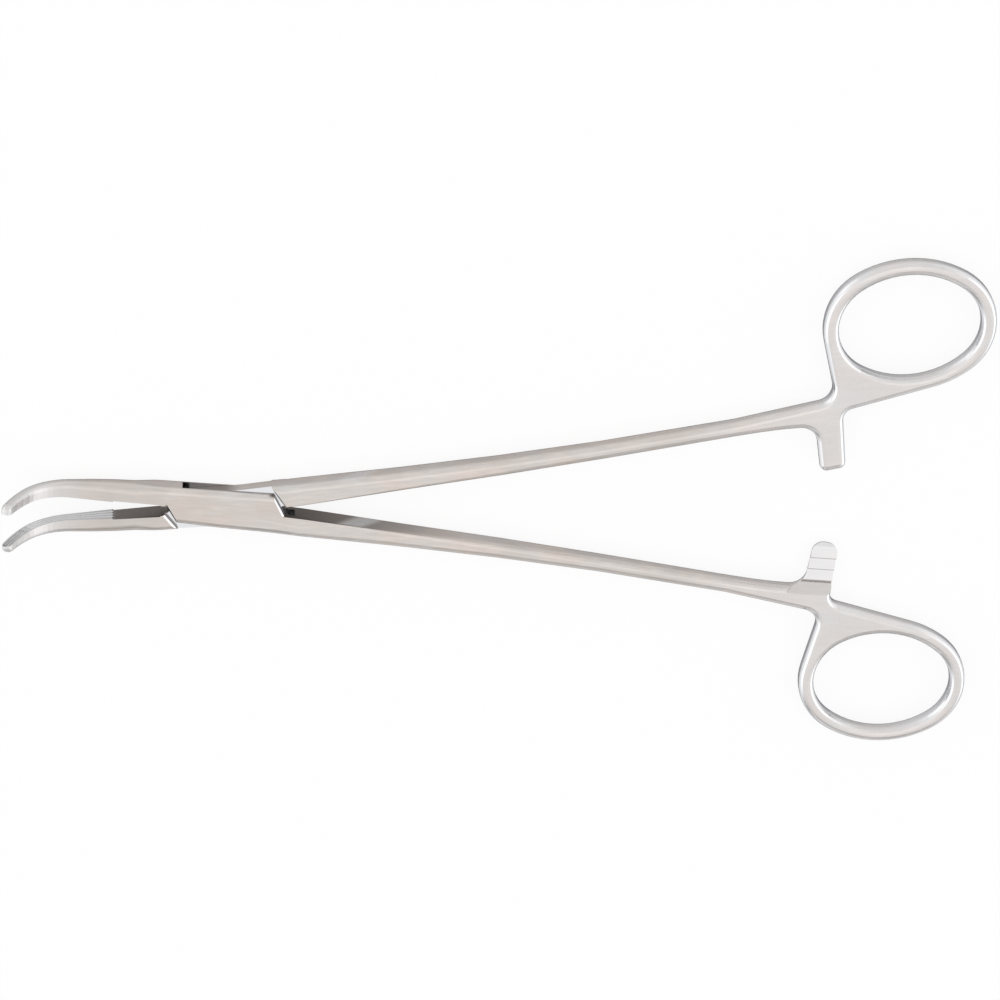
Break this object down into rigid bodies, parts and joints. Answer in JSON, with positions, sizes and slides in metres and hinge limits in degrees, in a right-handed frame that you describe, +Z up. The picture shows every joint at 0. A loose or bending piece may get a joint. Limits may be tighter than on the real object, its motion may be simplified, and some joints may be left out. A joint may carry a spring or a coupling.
{
  "type": "gall duct forceps",
  "caption": "Slender box-lock clamp with finger rings, a ratchet and bent jaws with lengthwise ridges.",
  "frame": {"origin": "on the axis of the lock's pin, at the underside of the box, on which the forceps lie", "axes": "+X along the forceps towards the finger rings, +Z up along the pin, so the bent jaws point up at -X and the toothed face of the lower tab looks up"},
  "size_m": [0.1868, 0.1032, 0.0128],
  "materials": {
    "satin_steel": "satin",
    "pin_steel": "satin"
  },
  "bodies": {
    "box_body": {"box_half": "satin_steel", "pivot_pin": "pin_steel"},
    "tongue_body": {"tongue_half": "satin_steel"}
  },
  "joints": [
    {"name": "box_lock", "type": "hinge", "parent": "box_body", "child": "tongue_body", "pos_m": [0, 0, 0.0024], "axis": [0, 0, 1], "range_deg": [-9, 41]}
  ]
}
